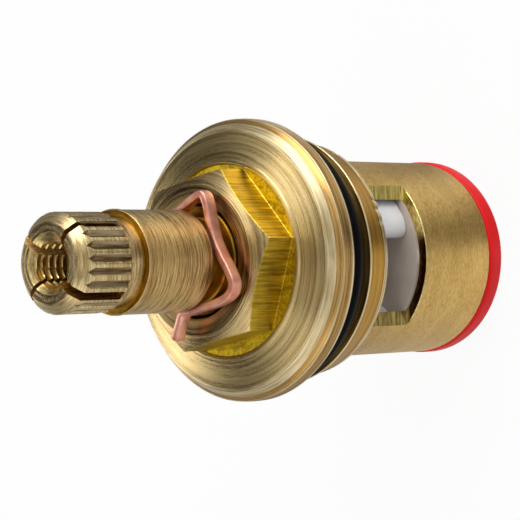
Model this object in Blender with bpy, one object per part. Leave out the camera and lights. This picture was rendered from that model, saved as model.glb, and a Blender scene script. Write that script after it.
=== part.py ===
"""Quarter-turn ceramic disc tap cartridge for the hot side of a tap.

Units are metres. The origin is the middle of the seal's lower face, the spindle points
up along +Z, and the two water windows of the barrel face +X and -X.
"""
import math

import bmesh
import bpy
from mathutils import Matrix, Vector

# Clearances
GAP = 0.0003
RING_GAP = 0.00015
DISC_FILM = 0.00015

# Outlet seal and the ring that stiffens it
SEAL_LIP_RADIUS = 0.0086
SEAL_LIP_THICKNESS = 0.00155
SEAL_EDGE_ROUND = 0.0006
SEAL_SLEEVE_WALL = 0.0015
SEAL_SLEEVE_TOP = 0.0070
SEAL_FOOT_THICKNESS = 0.0009
SEAL_FOOT_WIDTH = 0.0007
SUPPORT_RING_WALL = 0.0007

# Barrel of the body
BARREL_RADIUS = 0.0085
BARREL_WALL = 0.0008
BARREL_LENGTH = 0.01555
BARREL_END_BEVEL = 0.0002
KEYWAY_DEPTH = 0.0004
KEYWAY_WIDTH = 0.0030
WINDOW_CUT_DEPTH = 0.00247
WINDOW_SILL = 0.0003
WINDOW_LEDGE = 0.0002
WINDOW_CORNER_RADIUS = 0.0005

# Collar below the seal groove
COLLAR_LENGTH = 0.00305
COLLAR_REAR_RADIUS = 0.00995
COLLAR_WAIST_RADIUS = 0.01022
COLLAR_LIP_RADIUS = 0.0106
COLLAR_EDGE_BEVEL = 0.0001

# Groove and flange
GROOVE_WIDTH = 0.00315
GROOVE_FLOOR_RADIUS = 0.0086
FLANGE_RADIUS = 0.01183
FLANGE_RIM_WIDTH = 0.00144
FLANGE_REAR_BEVEL = 0.00015
FLANGE_STEP_RADIUS = 0.0114
FLANGE_STEP_HEIGHT = 0.00046
FLANGE_FACE_RADIUS = 0.01095
FLANGE_BEVEL_HEIGHT = 0.0006
FLANGE_FACE_RISE = 0.00066

# Hexagon, milled out of a round boss
HEX_ACROSS_FLATS = 0.0136
HEX_TURN = math.radians(11.1)
HEX_HEIGHT = 0.00347
HEX_POCKET_RADIUS = 0.00795
HEX_POCKET_DEPTH = 0.00016
HEX_TOP_RADIUS = 0.0062
HEX_CHAMFER_ANGLE = math.radians(25)

# Inside of the body
SPINDLE_BORE_RADIUS = 0.00474
SPINDLE_BORE_BEVEL = 0.0002
CHAMBER_RADIUS = 0.0067
CHAMBER_DEPTH = 0.0055
STOP_LUG_REACH = 0.0015
STOP_LUG_ANGLE = math.radians(90)
STOP_LUG_SPREAD = math.radians(24)

# Ceramic discs
FIXED_DISC_THICKNESS = 0.0036
MOVING_DISC_THICKNESS = 0.0029
MOVING_DISC_SIDE_GAP = 0.0005
DISC_HUB_RADIUS = 0.0026
DISC_GAP_OFFSET = 0.00175
DISC_GAP_FLARE = math.radians(15)
DISC_CORNER_ROUND = 0.0011
PORT_RIM_WIDTH = 0.0012
PORT_OFFSET = 0.00150
DRIVE_SLOT_DEPTH = 0.0018
LUG_SIDE_GAP = 0.0003

# Spindle, from the discs up
TANG_WIDTH = 0.0030
TANG_LENGTH = 0.0092
STUB_RADIUS = 0.0043
THRUST_COLLAR_RADIUS = 0.0063
THRUST_COLLAR_THICKNESS = 0.0026
WASHER_THICKNESS = 0.0008
WASHER_WIDTH = 0.0014
BEARING_RADIUS = 0.0045
RING_GROOVE_FLOOR = 0.0030
RING_GROOVE_WIDTH = 0.0019
LOWER_RING_HEIGHT = 0.0026
RING_SPACING = 0.0030
CLIP_GROOVE_FLOOR = 0.0035
CLIP_GROOVE_WIDTH = 0.0021
BEARING_TOP_BEVEL = 0.0001
STEM_RADIUS = 0.00419
STEM_LENGTH = 0.00714
STEM_RIM_RADIUS = 0.00427
STEM_RIM_WIDTH = 0.0004
NECK_RADIUS = 0.0036
NECK_LENGTH = 0.00157
SPLINE_RADIUS = 0.0040
SPLINE_DEPTH = 0.00038
SPLINE_LENGTH = 0.00445
SPLINE_TEETH = 24
SPLINE_TURN = math.radians(5)
TIP_RADIUS = 0.00319
TIP_LENGTH = 0.00074
SCREW_HOLE_RADIUS = 0.00175
SCREW_HOLE_DEPTH = 0.0090
COUNTERSINK_RADIUS = 0.00232
SLOT_WIDTH = 0.0006
SLOT_DEPTH = 0.0051
SLOT_TURN = math.radians(65)

# How far the spindle turns, and where it stands closed
QUARTER_TURN = math.radians(90)
REST_TURN = math.radians(-17.4)

# Retaining clip, bent from flat wire round the spindle's upper groove, with each side's
# direction as seen from the spindle's axis and its distance from that axis
CLIP_WIRE_WIDTH = 0.0007
CLIP_WIRE_HEIGHT = 0.0011
CLIP_FREE_GAP = 0.00025
CLIP_BEND_RADIUS = 0.0009
CLIP_TAB_SIDE = (math.radians(-59), 0.00417)
CLIP_FRONT_SIDE = (math.radians(42), 0.00432)
CLIP_TOP_SIDE = (math.radians(132), 0.00405)
CLIP_REAR_SIDE = (math.radians(222), 0.00415)
CLIP_TAB_START = 0.0009
CLIP_TAB_TURN = math.radians(-96)
CLIP_TAB_LENGTH = 0.0023
CLIP_FREE_END = 0.0030

# Rubber rings
BODY_RING_THICKNESS = 0.0023

# Facets round the turned pieces
BODY_STEPS = 64
DISC_STEPS = 56
SPLINE_POINTS = 3
RING_STEPS = 48
RING_SECTION_STEPS = 10

# Heights worked out from the sizes above
barrel_end = SEAL_LIP_THICKNESS + GAP
barrel_bore = BARREL_RADIUS - BARREL_WALL
window_plane = BARREL_RADIUS - WINDOW_CUT_DEPTH
collar_rear = barrel_end + BARREL_LENGTH
collar_lip = collar_rear + COLLAR_LENGTH
flange_rear = collar_lip + GROOVE_WIDTH
flange_rim_top = flange_rear + FLANGE_RIM_WIDTH
flange_step = flange_rim_top + FLANGE_STEP_HEIGHT
flange_face_edge = flange_step + FLANGE_BEVEL_HEIGHT
flange_face_top = flange_face_edge + FLANGE_FACE_RISE
hex_floor = flange_face_top - HEX_POCKET_DEPTH
hex_top = hex_floor + HEX_HEIGHT
hex_corner = HEX_ACROSS_FLATS / math.sqrt(3)

chamber_top = collar_rear + CHAMBER_DEPTH
washer_top = chamber_top - GAP
washer_bottom = washer_top - WASHER_THICKNESS
collar_top = washer_bottom - GAP
collar_bottom = collar_top - THRUST_COLLAR_THICKNESS

fixed_disc_bottom = SEAL_SLEEVE_TOP + GAP
fixed_disc_top = fixed_disc_bottom + FIXED_DISC_THICKNESS
fixed_disc_radius = barrel_bore - GAP
moving_disc_radius = barrel_bore - MOVING_DISC_SIDE_GAP
port_outer_radius = moving_disc_radius - PORT_RIM_WIDTH
moving_disc_bottom = fixed_disc_top + DISC_FILM
moving_disc_top = moving_disc_bottom + MOVING_DISC_THICKNESS
window_bottom = fixed_disc_top - WINDOW_SILL
window_top = collar_rear - WINDOW_LEDGE

stub_bottom = moving_disc_top + GAP
tang_bottom = moving_disc_top - DRIVE_SLOT_DEPTH + GAP
bearing_top = hex_top
clip_groove_top = bearing_top + CLIP_GROOVE_WIDTH
stem_top = clip_groove_top + STEM_LENGTH
neck_top = stem_top + NECK_LENGTH
spline_top = neck_top + SPLINE_LENGTH
tip_top = spline_top + TIP_LENGTH

# Basic shapes


def material(name, colour, roughness, metallic):
    """A plain material with the piece's colour, roughness and metal value."""
    made = bpy.data.materials.new(name)
    made.use_nodes = True
    shader = made.node_tree.nodes["Principled BSDF"]
    shader.inputs["Base Color"].default_value = (*colour, 1.0)
    shader.inputs["Roughness"].default_value = roughness
    shader.inputs["Metallic"].default_value = metallic
    made.diffuse_color = (*colour, 1.0)
    return made


def add_object(name, shape, surface=None, parent=None):
    """Turn a bmesh into a named object, smooth where its faces nearly line up."""
    bmesh.ops.recalc_face_normals(shape, faces=shape.faces)
    mesh = bpy.data.meshes.new(name)
    shape.to_mesh(mesh)
    shape.free()
    mesh.shade_smooth()
    mesh.set_sharp_from_angle(angle=math.radians(25))
    made = bpy.data.objects.new(name, mesh)
    bpy.context.scene.collection.objects.link(made)
    if surface:
        mesh.materials.append(surface)
    if parent:
        made.parent = parent
    return made


def turned(outline, steps, closed=True):
    """Spin an outline of (radius, height) points round Z; an open one ends on the axis."""
    shape = bmesh.new()
    points = [shape.verts.new((radius, 0.0, height)) for radius, height in outline]
    edges = [shape.edges.new(pair) for pair in zip(points, points[1:])]
    if closed:
        edges.append(shape.edges.new((points[-1], points[0])))
    bmesh.ops.spin(shape, geom=points + edges, axis=(0, 0, 1), cent=(0, 0, 0),
                   angle=math.tau, steps=steps, use_merge=True)
    bmesh.ops.remove_doubles(shape, verts=shape.verts, dist=1e-7)
    return shape


def prism(outline, bottom, top):
    """Extrude a flat outline of (x, y) points from one height to another."""
    shape = bmesh.new()
    points = [shape.verts.new((x, y, bottom)) for x, y in outline]
    floor = shape.faces.new(points)
    lifted = bmesh.ops.extrude_face_region(shape, geom=[floor])
    moved = [item for item in lifted["geom"] if isinstance(item, bmesh.types.BMVert)]
    bmesh.ops.translate(shape, verts=moved, vec=(0, 0, top - bottom))
    return shape


def box(low, high):
    """A block between two opposite corners."""
    outline = [(low[0], low[1]), (high[0], low[1]), (high[0], high[1]), (low[0], high[1])]
    return prism(outline, low[2], high[2])


def arc(radius, start, end, steps, centre=(0.0, 0.0)):
    """Points along a circular arc, both ends included."""
    turns = [start + (end - start) * step / steps for step in range(steps + 1)]
    return [(centre[0] + radius * math.cos(turn), centre[1] + radius * math.sin(turn))
            for turn in turns]


def circle(radius, steps):
    """Points once round a circle."""
    return arc(radius, 0.0, math.tau, steps)[:-1]


def sector(inner, outer, start, end, bottom, top, steps):
    """A slice of a ring between two directions."""
    outline = arc(outer, start, end, steps) + arc(inner, end, start, steps)
    return prism(outline, bottom, top)


def ring(centre_radius, section_radius, height, steps):
    """A round rubber ring."""
    section = [(centre_radius + x, height + y)
               for x, y in circle(section_radius, RING_SECTION_STEPS)]
    return turned(section, steps)


def turn_shape(shape, angle):
    """Turn a bmesh about the Z axis."""
    bmesh.ops.rotate(shape, verts=shape.verts, cent=(0, 0, 0), matrix=Matrix.Rotation(angle, 3, "Z"))
    return shape


def combine(target, name, shape, operation="DIFFERENCE"):
    """Cut a hidden shape out of an object, or join it on."""
    tool = add_object(name, shape, parent=target.parent)
    tool.hide_render = True
    tool.display_type = "WIRE"
    step = target.modifiers.new(name, "BOOLEAN")
    step.operation = operation
    step.solver = "EXACT"
    step.object = tool
    return tool


def rounded_path(corners, radius, steps):
    """A path through corner points, with each inner corner bent to a radius."""
    path = [Vector(corners[0])]
    for before, here, after in zip(corners, corners[1:], corners[2:]):
        here = Vector(here)
        back = (Vector(before) - here).normalized()
        ahead = (Vector(after) - here).normalized()
        half = back.angle(ahead) / 2
        run = radius / math.tan(half)
        centre = here + (back + ahead).normalized() * radius / math.sin(half)
        start = here + back * run - centre
        end = here + ahead * run - centre
        sweep = start.angle_signed(end)
        for step in range(steps + 1):
            turned_by = Matrix.Rotation(-sweep * step / steps, 2)
            path.append(centre + turned_by @ start)
    path.append(Vector(corners[-1]))
    return path


def strip_outline(path, width):
    """The outline of a flat strip that follows a path."""
    left, right = [], []
    for index, here in enumerate(path):
        before = path[max(index - 1, 0)]
        after = path[min(index + 1, len(path) - 1)]
        along = (after - before).normalized()
        side = Vector((-along.y, along.x)) * width / 2
        left.append(tuple(here + side))
        right.append(tuple(here - side))
    return left + right[::-1]


# Headwork body


def body_outline():
    """The turned outline of the body, up its outside and down its bores."""
    boss_radius = (hex_corner + HEX_POCKET_RADIUS) / 2
    chamfer_drop = (boss_radius - HEX_TOP_RADIUS) * math.tan(HEX_CHAMFER_ANGLE)
    outside = [
        (barrel_bore, barrel_end),
        (BARREL_RADIUS - BARREL_END_BEVEL, barrel_end),
        (BARREL_RADIUS, barrel_end + BARREL_END_BEVEL),
        (BARREL_RADIUS, collar_rear),
        (COLLAR_REAR_RADIUS - COLLAR_EDGE_BEVEL, collar_rear),
        (COLLAR_REAR_RADIUS, collar_rear + COLLAR_EDGE_BEVEL),
        (COLLAR_WAIST_RADIUS, (collar_rear + collar_lip) / 2),
        (COLLAR_LIP_RADIUS, collar_lip - COLLAR_EDGE_BEVEL),
        (COLLAR_LIP_RADIUS - COLLAR_EDGE_BEVEL, collar_lip),
        (GROOVE_FLOOR_RADIUS, collar_lip),
        (GROOVE_FLOOR_RADIUS, flange_rear),
        (FLANGE_RADIUS - FLANGE_REAR_BEVEL, flange_rear),
        (FLANGE_RADIUS, flange_rear + FLANGE_REAR_BEVEL),
        (FLANGE_RADIUS, flange_rim_top),
        (FLANGE_STEP_RADIUS, flange_step),
        (FLANGE_FACE_RADIUS, flange_face_edge),
        (boss_radius, flange_face_top),
        (boss_radius, hex_top - chamfer_drop),
        (HEX_TOP_RADIUS, hex_top),
    ]
    inside = [
        (SPINDLE_BORE_RADIUS + SPINDLE_BORE_BEVEL, hex_top),
        (SPINDLE_BORE_RADIUS, hex_top - SPINDLE_BORE_BEVEL),
        (SPINDLE_BORE_RADIUS, chamber_top),
        (CHAMBER_RADIUS, chamber_top),
        (CHAMBER_RADIUS, collar_rear),
        (barrel_bore, collar_rear),
    ]
    return outside + inside


def window_cutter():
    """A slab that mills one window, with the mill's small radius along its lower corner."""
    reach = BARREL_RADIUS * 2
    corner = (window_plane + WINDOW_CORNER_RADIUS, window_bottom + WINDOW_CORNER_RADIUS)
    side_view = arc(WINDOW_CORNER_RADIUS, math.pi, math.pi * 1.5, 4, corner)
    side_view += [(reach, window_bottom), (reach, window_top), (window_plane, window_top)]
    shape = bmesh.new()
    near = [shape.verts.new((x, -reach, z)) for x, z in side_view]
    far = [shape.verts.new((x, reach, z)) for x, z in side_view]
    shape.faces.new(near)
    shape.faces.new(far)
    for index in range(len(side_view)):
        following = (index + 1) % len(side_view)
        shape.faces.new((near[index], near[following], far[following], far[index]))
    return shape


def make_body(brass):
    """The body with its hexagon, windows, keyways and rotation stop."""
    body = add_object("headwork_body", turned(body_outline(), BODY_STEPS), brass)

    stop = sector(CHAMBER_RADIUS - STOP_LUG_REACH, CHAMBER_RADIUS + GAP,
                  STOP_LUG_ANGLE - STOP_LUG_SPREAD / 2, STOP_LUG_ANGLE + STOP_LUG_SPREAD / 2,
                  collar_bottom, collar_top, 6)
    combine(body, "stop_lug_joined", stop, "UNION")

    above_hex = hex_top + GAP
    pocket = combine(body, "hex_pocket_cut",
                     prism(circle(HEX_POCKET_RADIUS, BODY_STEPS), hex_floor, above_hex))
    hexagon = turn_shape(prism(circle(hex_corner, 6), hex_floor - GAP, above_hex + GAP), HEX_TURN)
    combine(pocket, "hex_left_standing", hexagon)

    combine(body, "window_cut_front", window_cutter())
    combine(body, "window_cut_back", turn_shape(window_cutter(), math.pi))

    reach = barrel_bore + KEYWAY_DEPTH
    keyway = box((-KEYWAY_WIDTH / 2, -reach, barrel_end - GAP), (KEYWAY_WIDTH / 2, reach, fixed_disc_top))
    combine(body, "keyway_cut", keyway)
    return body


def make_body_ring(rubber):
    """The rubber ring in the groove behind the flange."""
    section = BODY_RING_THICKNESS / 2
    height = flange_rear - RING_GAP - section
    centre_radius = GROOVE_FLOOR_RADIUS + RING_GAP + section
    return add_object("body_o_ring", ring(centre_radius, section, height, BODY_STEPS), rubber)


# Spindle


def spindle_outline():
    """The turned outline of the spindle below its spline, from its foot to the neck."""
    lower_ring = chamber_top + LOWER_RING_HEIGHT
    outline = [(0.0, stub_bottom), (STUB_RADIUS, stub_bottom), (STUB_RADIUS, collar_bottom)]
    outline += [(THRUST_COLLAR_RADIUS, collar_bottom), (THRUST_COLLAR_RADIUS, collar_top)]
    outline += [(BEARING_RADIUS, collar_top)]
    for height in (lower_ring, lower_ring + RING_SPACING):
        low, high = height - RING_GROOVE_WIDTH / 2, height + RING_GROOVE_WIDTH / 2
        outline += [(BEARING_RADIUS, low), (RING_GROOVE_FLOOR, low)]
        outline += [(RING_GROOVE_FLOOR, high), (BEARING_RADIUS, high)]
    outline += [
        (BEARING_RADIUS, bearing_top - BEARING_TOP_BEVEL),
        (BEARING_RADIUS - BEARING_TOP_BEVEL, bearing_top),
        (CLIP_GROOVE_FLOOR, bearing_top),
        (CLIP_GROOVE_FLOOR, clip_groove_top),
        (STEM_RADIUS, clip_groove_top),
        (STEM_RADIUS, stem_top - STEM_RIM_WIDTH),
        (STEM_RIM_RADIUS, stem_top - STEM_RIM_WIDTH),
        (STEM_RIM_RADIUS, stem_top),
        (NECK_RADIUS, stem_top),
        (NECK_RADIUS, neck_top),
    ]
    return outline


def tip_outline():
    """The tip from the spline's end cone into the screw hole and down to its bottom."""
    sink_depth = COUNTERSINK_RADIUS - SCREW_HOLE_RADIUS
    hole_bottom = tip_top - SCREW_HOLE_DEPTH
    cone_depth = SCREW_HOLE_RADIUS / math.tan(math.radians(59))
    return [
        (TIP_RADIUS, tip_top),
        (COUNTERSINK_RADIUS, tip_top),
        (SCREW_HOLE_RADIUS, tip_top - sink_depth),
        (SCREW_HOLE_RADIUS, hole_bottom),
        (0.0, hole_bottom - cone_depth),
    ]


def make_spindle(brass, axis):
    """Stack rings of points up the spindle, where the spline's rings dip between its teeth."""
    count = SPLINE_TEETH * SPLINE_POINTS
    levels = [(radius, radius, height) for radius, height in spindle_outline()]
    root = SPLINE_RADIUS - SPLINE_DEPTH
    levels.append((root, SPLINE_RADIUS, neck_top + GAP))
    levels.append((root, SPLINE_RADIUS, spline_top))
    levels += [(radius, radius, height) for radius, height in tip_outline()]

    shape = bmesh.new()
    rows = []
    for root_radius, crest_radius, height in levels:
        if crest_radius == 0.0:
            rows.append([shape.verts.new((0.0, 0.0, height))])
            continue
        row = []
        for index in range(count):
            radius = root_radius if index % SPLINE_POINTS == 0 else crest_radius
            angle = SPLINE_TURN + math.tau * index / count
            row.append(shape.verts.new((radius * math.cos(angle), radius * math.sin(angle), height)))
        rows.append(row)
    for low, high in zip(rows, rows[1:]):
        for index in range(count):
            following = (index + 1) % count
            if len(low) == 1:
                shape.faces.new((low[0], high[index], high[following]))
            elif len(high) == 1:
                shape.faces.new((low[index], low[following], high[0]))
            else:
                shape.faces.new((low[index], low[following], high[following], high[index]))
    spindle = add_object("spindle", shape, brass, axis)

    half_long, half_wide = TANG_LENGTH / 2, TANG_WIDTH / 2
    tang = box((-half_wide, -half_long, tang_bottom), (half_wide, half_long, stub_bottom + GAP))
    combine(spindle, "tang_joined", tang, "UNION")

    lug_half = STOP_LUG_SPREAD / 2
    stop_gap = GAP / (CHAMBER_RADIUS - STOP_LUG_REACH)
    notch_end = STOP_LUG_ANGLE - REST_TURN + lug_half + stop_gap
    notch_start = notch_end - QUARTER_TURN - STOP_LUG_SPREAD - 2 * stop_gap
    notch = sector(CHAMBER_RADIUS - STOP_LUG_REACH - GAP, CHAMBER_RADIUS + GAP,
                   notch_start, notch_end, collar_bottom - GAP, collar_top + GAP, 24)
    combine(spindle, "stop_notch_cut", notch)

    slot_floor = tip_top - SLOT_DEPTH
    for number in range(2):
        slot = box((-SPLINE_RADIUS * 2, -SLOT_WIDTH / 2, slot_floor),
                   (SPLINE_RADIUS * 2, SLOT_WIDTH / 2, tip_top + GAP))
        combine(spindle, f"tip_slot_cut_{number + 1}", turn_shape(slot, SLOT_TURN + number * math.pi / 2))
    return spindle


def make_spindle_rings(rubber, axis):
    """The two rubber rings that seal the spindle in its bore."""
    section = (SPINDLE_BORE_RADIUS - RING_GROOVE_FLOOR - 2 * RING_GAP) / 2
    centre_radius = (SPINDLE_BORE_RADIUS + RING_GROOVE_FLOOR) / 2
    lower = chamber_top + LOWER_RING_HEIGHT
    for name, height in (("spindle_o_ring_lower", lower), ("spindle_o_ring_upper", lower + RING_SPACING)):
        add_object(name, ring(centre_radius, section, height, RING_STEPS), rubber, axis)


def make_slip_washer(plastic):
    """The flat washer that the spindle's thrust collar turns against."""
    inner = THRUST_COLLAR_RADIUS - WASHER_WIDTH
    outline = [(inner, washer_bottom), (THRUST_COLLAR_RADIUS, washer_bottom)]
    outline += [(THRUST_COLLAR_RADIUS, washer_top), (inner, washer_top)]
    return add_object("slip_washer", turned(outline, RING_STEPS), plastic)


# Retaining clip


def side_crossing(first, second):
    """The corner where two sides meet, each given by its direction and its distance."""
    spread = math.sin(second[0] - first[0])
    x = (first[1] * math.sin(second[0]) - second[1] * math.sin(first[0])) / spread
    y = (second[1] * math.cos(first[0]) - first[1] * math.cos(second[0])) / spread
    return (x, y)


def along_side(side, run):
    """A point on a side, this far anticlockwise of the spot nearest the axis."""
    turn, distance = side
    return (distance * math.cos(turn) - run * math.sin(turn),
            distance * math.sin(turn) + run * math.cos(turn))


def make_clip(copper, axis):
    """A flat wire bent round the groove in four straight sides, with one end turned out."""
    tab_root = along_side(CLIP_TAB_SIDE, -CLIP_TAB_START)
    tab_end = (tab_root[0] + CLIP_TAB_LENGTH * math.cos(CLIP_TAB_TURN),
               tab_root[1] + CLIP_TAB_LENGTH * math.sin(CLIP_TAB_TURN))
    corners = [
        tab_end,
        tab_root,
        side_crossing(CLIP_TAB_SIDE, CLIP_FRONT_SIDE),
        side_crossing(CLIP_FRONT_SIDE, CLIP_TOP_SIDE),
        side_crossing(CLIP_TOP_SIDE, CLIP_REAR_SIDE),
        along_side(CLIP_REAR_SIDE, CLIP_FREE_END),
    ]
    outline = strip_outline(rounded_path(corners, CLIP_BEND_RADIUS, 6), CLIP_WIRE_WIDTH)
    top = clip_groove_top - CLIP_FREE_GAP
    return add_object("retaining_clip", prism(outline, top - CLIP_WIRE_HEIGHT, top), copper, axis)


# Ceramic discs


def wedge(inner, outer, offset):
    """The outline of a gap that widens outwards: its sides run past the axis at an offset."""
    def on_side(radius, sign):
        turn = DISC_GAP_FLARE + math.asin(offset / radius)
        return sign * turn
    points = arc(outer, on_side(outer, -1), on_side(outer, 1), 10)
    points += arc(inner, on_side(inner, 1), on_side(inner, -1), 8)
    return points


def lobe_outline():
    """The outline of the moving disc: two round-cornered lobes joined at a hub."""
    edge_turn = DISC_GAP_FLARE + math.asin(DISC_GAP_OFFSET / moving_disc_radius)
    hub_turn = DISC_GAP_FLARE + math.asin(DISC_GAP_OFFSET / DISC_HUB_RADIUS)
    corner_step = DISC_CORNER_ROUND / moving_disc_radius
    outline = []
    for quarter in (0.0, math.pi):
        start, end = quarter + edge_turn, quarter + math.pi - edge_turn
        round_in = moving_disc_radius - DISC_CORNER_ROUND
        first, last = start + corner_step, end - corner_step
        outline.append(polar(DISC_HUB_RADIUS, quarter + hub_turn))
        outline += round_corner(polar(round_in, start_on_side(quarter, round_in, 1)),
                                polar(moving_disc_radius, start), polar(moving_disc_radius, first))
        outline += arc(moving_disc_radius, first, last, 20)[1:-1]
        outline += round_corner(polar(moving_disc_radius, last), polar(moving_disc_radius, end),
                                polar(round_in, start_on_side(quarter + math.pi, round_in, -1)))
        outline += arc(DISC_HUB_RADIUS, quarter + math.pi - hub_turn, quarter + math.pi + hub_turn, 8)[:-1]
    return outline


def start_on_side(gap_turn, radius, sign):
    """The direction of the point on a gap's side that lies at this radius."""
    return gap_turn + sign * (DISC_GAP_FLARE + math.asin(DISC_GAP_OFFSET / radius))


def polar(radius, turn):
    """A point from its radius and direction."""
    return (radius * math.cos(turn), radius * math.sin(turn))


def round_corner(start, corner, end):
    """Points on a smooth bend from start to end that is pulled towards the corner."""
    points = []
    for step in range(6):
        share = step / 5
        weights = ((1 - share) ** 2, 2 * share * (1 - share), share ** 2)
        points.append(tuple(sum(weight * place[axis] for weight, place in zip(weights, (start, corner, end)))
                            for axis in range(2)))
    return points


def make_moving_disc(ceramic, axis):
    """The disc that the spindle turns, with a slot in its top for the spindle's tang."""
    disc = add_object("moving_disc", prism(lobe_outline(), moving_disc_bottom, moving_disc_top),
                      ceramic, axis)
    half_long, half_wide = TANG_LENGTH / 2 + GAP, TANG_WIDTH / 2 + GAP
    slot = box((-half_wide, -half_long, moving_disc_top - DRIVE_SLOT_DEPTH),
               (half_wide, half_long, moving_disc_top + GAP))
    combine(disc, "drive_slot_cut", slot)
    return disc


def make_fixed_disc(ceramic):
    """The disc with the two ports, kept from turning by lugs in the barrel's keyways."""
    disc = add_object("fixed_disc", prism(circle(fixed_disc_radius, DISC_STEPS),
                                          fixed_disc_bottom, fixed_disc_top), ceramic)
    lug_reach = barrel_bore + KEYWAY_DEPTH - RING_GAP
    lug_half = KEYWAY_WIDTH / 2 - LUG_SIDE_GAP
    lugs = box((-lug_half, -lug_reach, fixed_disc_bottom), (lug_half, lug_reach, fixed_disc_top - GAP))
    combine(disc, "lugs_joined", lugs, "UNION")
    for number in range(2):
        port = prism(wedge(DISC_HUB_RADIUS, port_outer_radius, PORT_OFFSET),
                     fixed_disc_bottom - GAP, fixed_disc_top + GAP)
        turn = REST_TURN + QUARTER_TURN + number * math.pi
        combine(disc, f"port_cut_{number + 1}", turn_shape(port, turn))
    return disc


# Seal


def make_seal(silicone):
    """The soft seal: a lip under the barrel's end and a sleeve that carries the discs."""
    outer = barrel_bore - GAP
    inner = outer - SEAL_SLEEVE_WALL
    foot = inner - SEAL_FOOT_WIDTH
    corner = (SEAL_LIP_RADIUS - SEAL_EDGE_ROUND, SEAL_EDGE_ROUND)
    outline = [(foot, 0.0)]
    outline += arc(SEAL_EDGE_ROUND, -math.pi / 2, 0.0, 4, corner)
    outline += [(SEAL_LIP_RADIUS, SEAL_LIP_THICKNESS), (outer, SEAL_LIP_THICKNESS)]
    outline += [(outer, SEAL_SLEEVE_TOP), (inner, SEAL_SLEEVE_TOP)]
    outline += [(inner, SEAL_FOOT_THICKNESS), (foot, SEAL_FOOT_THICKNESS)]
    return add_object("outlet_seal", turned(outline, BODY_STEPS), silicone)


def make_support_ring(plastic):
    """The stiff ring that keeps the seal's sleeve round."""
    outer = barrel_bore - GAP - SEAL_SLEEVE_WALL - GAP
    inner = outer - SUPPORT_RING_WALL
    bottom = SEAL_FOOT_THICKNESS + GAP
    outline = [(inner, bottom), (outer, bottom), (outer, SEAL_SLEEVE_TOP), (inner, SEAL_SLEEVE_TOP)]
    return add_object("seal_support_ring", turned(outline, RING_STEPS), plastic)


# Build the cartridge

for old in list(bpy.data.objects):
    bpy.data.objects.remove(old, do_unlink=True)

brass_material = material("turned_brass", (0.55, 0.40, 0.16), 0.32, 1.0)
copper_material = material("phosphor_bronze_wire", (0.50, 0.20, 0.16), 0.35, 1.0)
rubber_material = material("black_rubber", (0.008, 0.008, 0.012), 0.45, 0.0)
silicone_material = material("red_silicone", (0.72, 0.015, 0.025), 0.40, 0.0)
ceramic_material = material("white_ceramic", (0.75, 0.75, 0.74), 0.20, 0.0)
plastic_material = material("white_plastic", (0.70, 0.69, 0.65), 0.45, 0.0)

spindle_axis = bpy.data.objects.new("spindle_axis", None)
bpy.context.scene.collection.objects.link(spindle_axis)
spindle_axis.rotation_euler = (0.0, 0.0, REST_TURN)

make_body(brass_material)
make_body_ring(rubber_material)
make_spindle(brass_material, spindle_axis)
make_spindle_rings(rubber_material, spindle_axis)
make_slip_washer(plastic_material)
make_clip(copper_material, spindle_axis)
make_moving_disc(ceramic_material, spindle_axis)
make_fixed_disc(ceramic_material)
make_seal(silicone_material)
make_support_ring(plastic_material)
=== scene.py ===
"""Looks of a quarter-turn ceramic disc tap cartridge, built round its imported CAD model.

The spindle points up along +Z from the middle of the seal's lower face. Sizes below are in
millimetres and become metres where a mesh is made.
"""

import math

import bmesh
import bpy
import numpy as np
from mathutils import Matrix, Vector


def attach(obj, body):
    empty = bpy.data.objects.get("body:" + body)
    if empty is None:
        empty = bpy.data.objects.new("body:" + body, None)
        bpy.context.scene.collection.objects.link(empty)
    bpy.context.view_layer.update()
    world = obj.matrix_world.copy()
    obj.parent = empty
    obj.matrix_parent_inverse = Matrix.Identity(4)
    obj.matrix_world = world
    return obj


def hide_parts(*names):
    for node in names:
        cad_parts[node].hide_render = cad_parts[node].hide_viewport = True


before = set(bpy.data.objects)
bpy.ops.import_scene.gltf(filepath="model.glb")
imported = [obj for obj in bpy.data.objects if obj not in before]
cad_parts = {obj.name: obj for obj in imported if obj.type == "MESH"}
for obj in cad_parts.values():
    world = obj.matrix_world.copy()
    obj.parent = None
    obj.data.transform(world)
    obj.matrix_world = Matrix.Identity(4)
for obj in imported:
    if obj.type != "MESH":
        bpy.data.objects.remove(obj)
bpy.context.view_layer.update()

# The barrel
# A brass tube, part of the same bar as the flange, drilled out for the discs and brushed round
# its outside. Two windows are milled flat across it, and each leaves a small radius at its sill.

BARREL_RADIUS = 8.5
BARREL_BORE = 7.7
BARREL_END = 1.85
COLLAR_REAR = 17.4
WINDOW_SILL = 10.6
WINDOW_TOP = 17.2
WINDOW_PLANE = 6.03
WINDOW_CORNER = 0.3
EDGE_BREAK = 0.06
END_CHAMFER = 0.15

MM = 0.001
MERGE_DISTANCE = 1e-4
SHARP_ANGLE = math.radians(28)
LINE_RELIEF = 0.04 * MM
GRAIN_RELIEF = 0.03 * MM


def grid_faces(rows, columns, wrapped):
    """Quads of a grid whose points run row by row. A wrapped grid joins its last column to its
    first."""
    across = columns if wrapped else columns - 1
    row, column = np.meshgrid(np.arange(rows - 1), np.arange(across), indexing="ij")
    following = (column + 1) % columns
    corners = (row * columns + column, row * columns + following,
               (row + 1) * columns + following, (row + 1) * columns + column)
    return np.stack(corners, axis=-1)


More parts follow.
